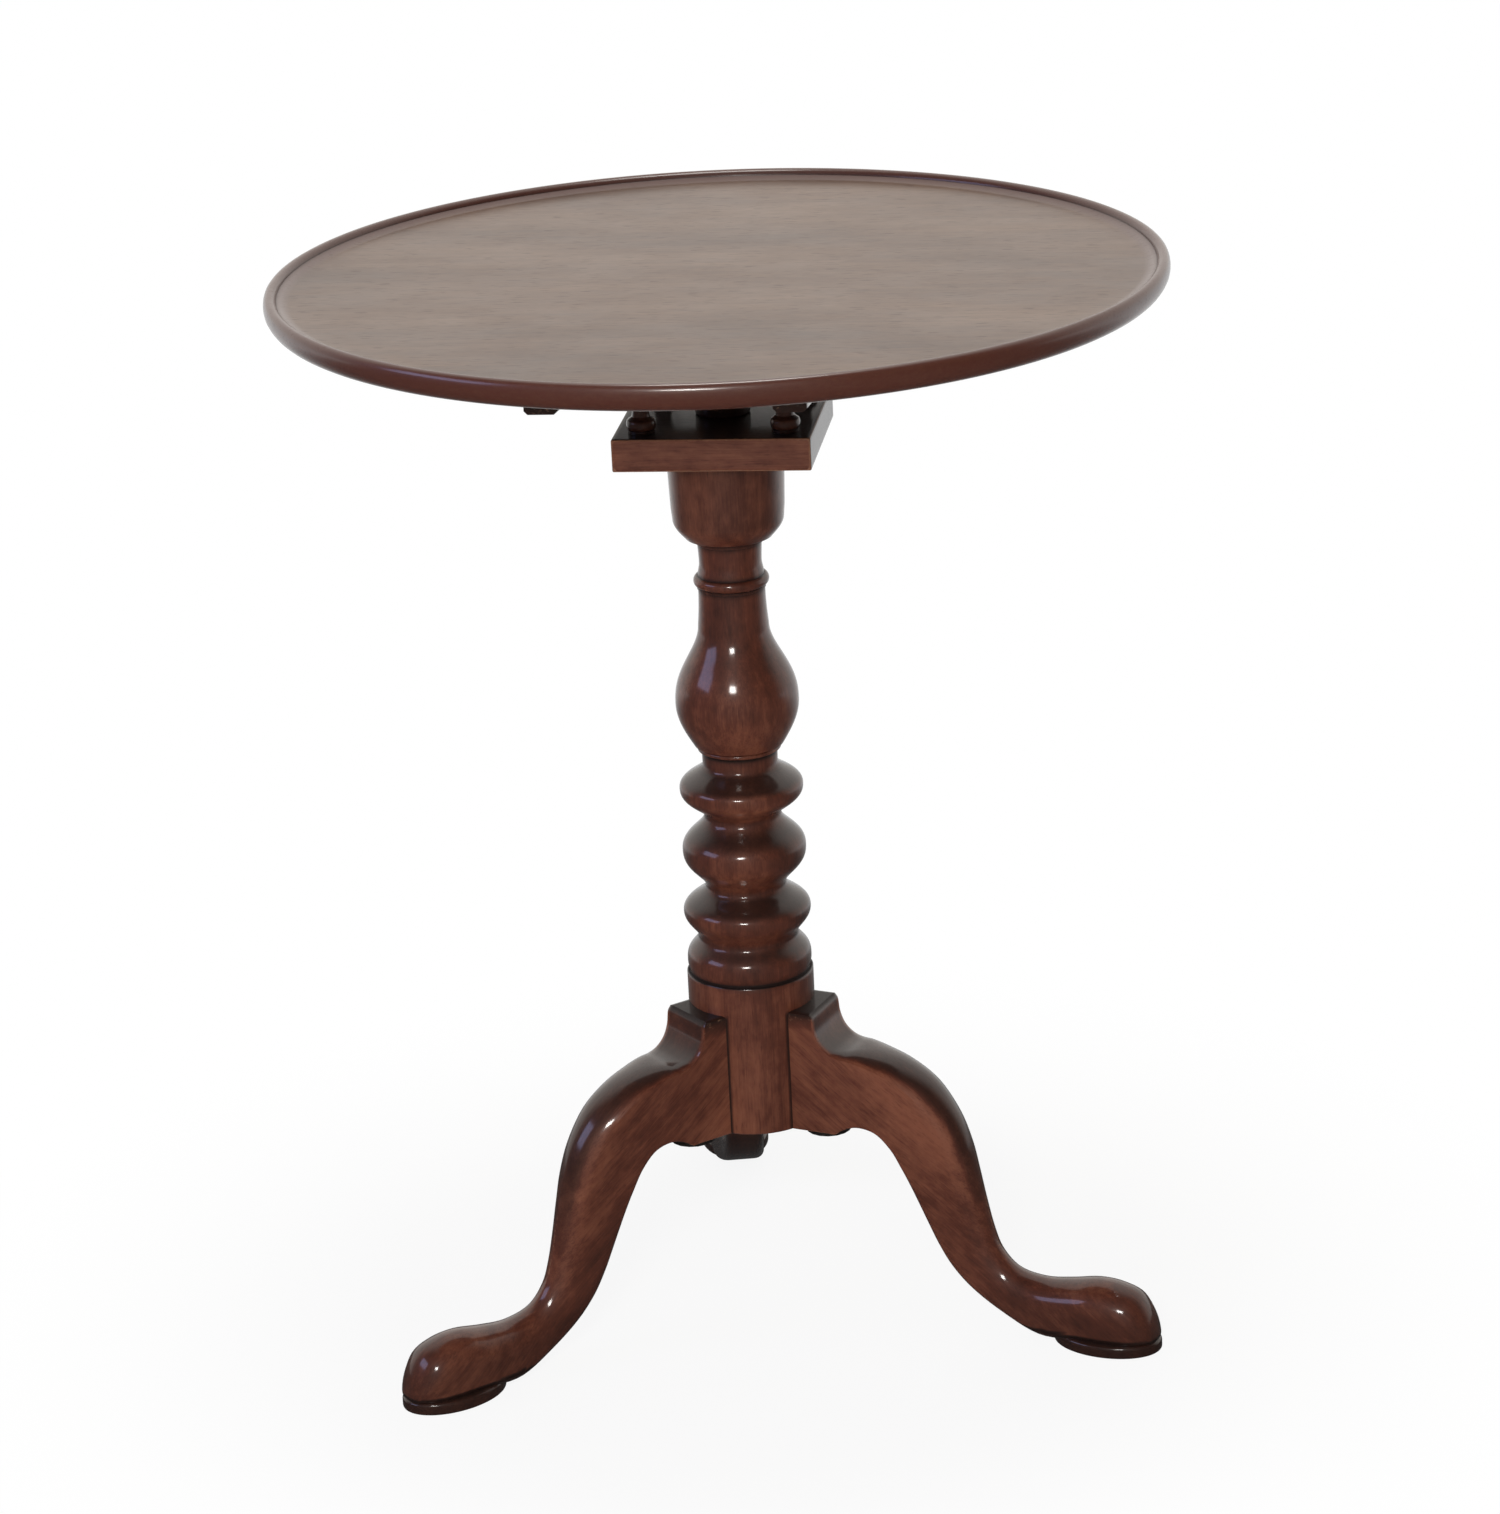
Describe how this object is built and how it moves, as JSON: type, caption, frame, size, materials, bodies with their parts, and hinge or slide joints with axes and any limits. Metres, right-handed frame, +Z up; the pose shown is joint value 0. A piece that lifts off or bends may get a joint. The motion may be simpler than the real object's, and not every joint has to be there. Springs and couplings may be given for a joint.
{
  "type": "tilt-top candlestand",
  "caption": "Tilt-top candlestand: dished round top on a turning birdcage, a turned pillar with stacked rings and a vase, and cabriole legs with pad feet.",
  "frame": {"origin": "on the floor under the middle of the pillar", "axes": "+Z up; +X along the hinge of the top and its grain; +Y from the hinge side of the birdcage to its catch"},
  "size_m": [0.566, 0.566, 0.7042],
  "materials": {
    "mahogany": "old dark polish, satin to gloss",
    "top_mahogany": "worn polish, satin",
    "pale_mahogany": "oiled, matte",
    "brass": "tarnished, satin",
    "steel": "darkened",
    "wrought_iron": "forged, black"
  },
  "bodies": {
    "stand": {"pillar": "mahogany", "leg_left": "mahogany", "leg_right": "mahogany", "leg_rear": "mahogany", "iron_brace": "wrought_iron", "brace_nail_left_1": "wrought_iron", "brace_nail_left_2": "wrought_iron", "brace_nail_right_1": "wrought_iron", "brace_nail_right_2": "wrought_iron", "brace_nail_rear_1": "wrought_iron", "brace_nail_rear_2": "wrought_iron"},
    "wedge": {"wedge": "pale_mahogany"},
    "birdcage": {"birdcage_lower_plate": "mahogany", "birdcage_upper_plate": "mahogany", "colonnette_1": "mahogany", "colonnette_2": "mahogany", "colonnette_3": "mahogany", "colonnette_4": "mahogany", "collar": "mahogany", "strike_plate": "brass", "strike_screw_1": "brass", "strike_screw_2": "brass"},
    "top": {"top_board": "top_mahogany", "bearer_left": "mahogany", "bearer_right": "mahogany", "bearer_screw_1": "steel", "bearer_screw_2": "steel", "bearer_screw_3": "steel", "bearer_screw_4": "steel", "bearer_screw_5": "steel", "bearer_screw_6": "steel", "catch_case": "brass", "catch_spring": "steel", "catch_screw_1": "brass", "catch_screw_2": "brass", "catch_screw_3": "brass", "catch_screw_4": "brass"},
    "catch_bolt": {"catch_bolt": "brass", "catch_knob": "brass"}
  },
  "joints": [
    {"name": "birdcage_spin", "type": "hinge", "parent": "stand", "child": "birdcage", "pos_m": [0, 0, 0.5995], "axis": [0, 0, 1], "continuous": true},
    {"name": "top_tilt", "type": "hinge", "parent": "birdcage", "child": "top", "pos_m": [0, -0.053, 0.6757], "axis": [1, 0, 0], "range_deg": [0, 90]},
    {"name": "catch_slide", "type": "slide", "parent": "top", "child": "catch_bolt", "axis": [0, -1, 0], "range_m": [0, 0.007]},
    {"name": "wedge_slide", "type": "slide", "parent": "stand", "child": "wedge", "axis": [1, 0, 0], "range_m": [0, 0.017]}
  ]
}
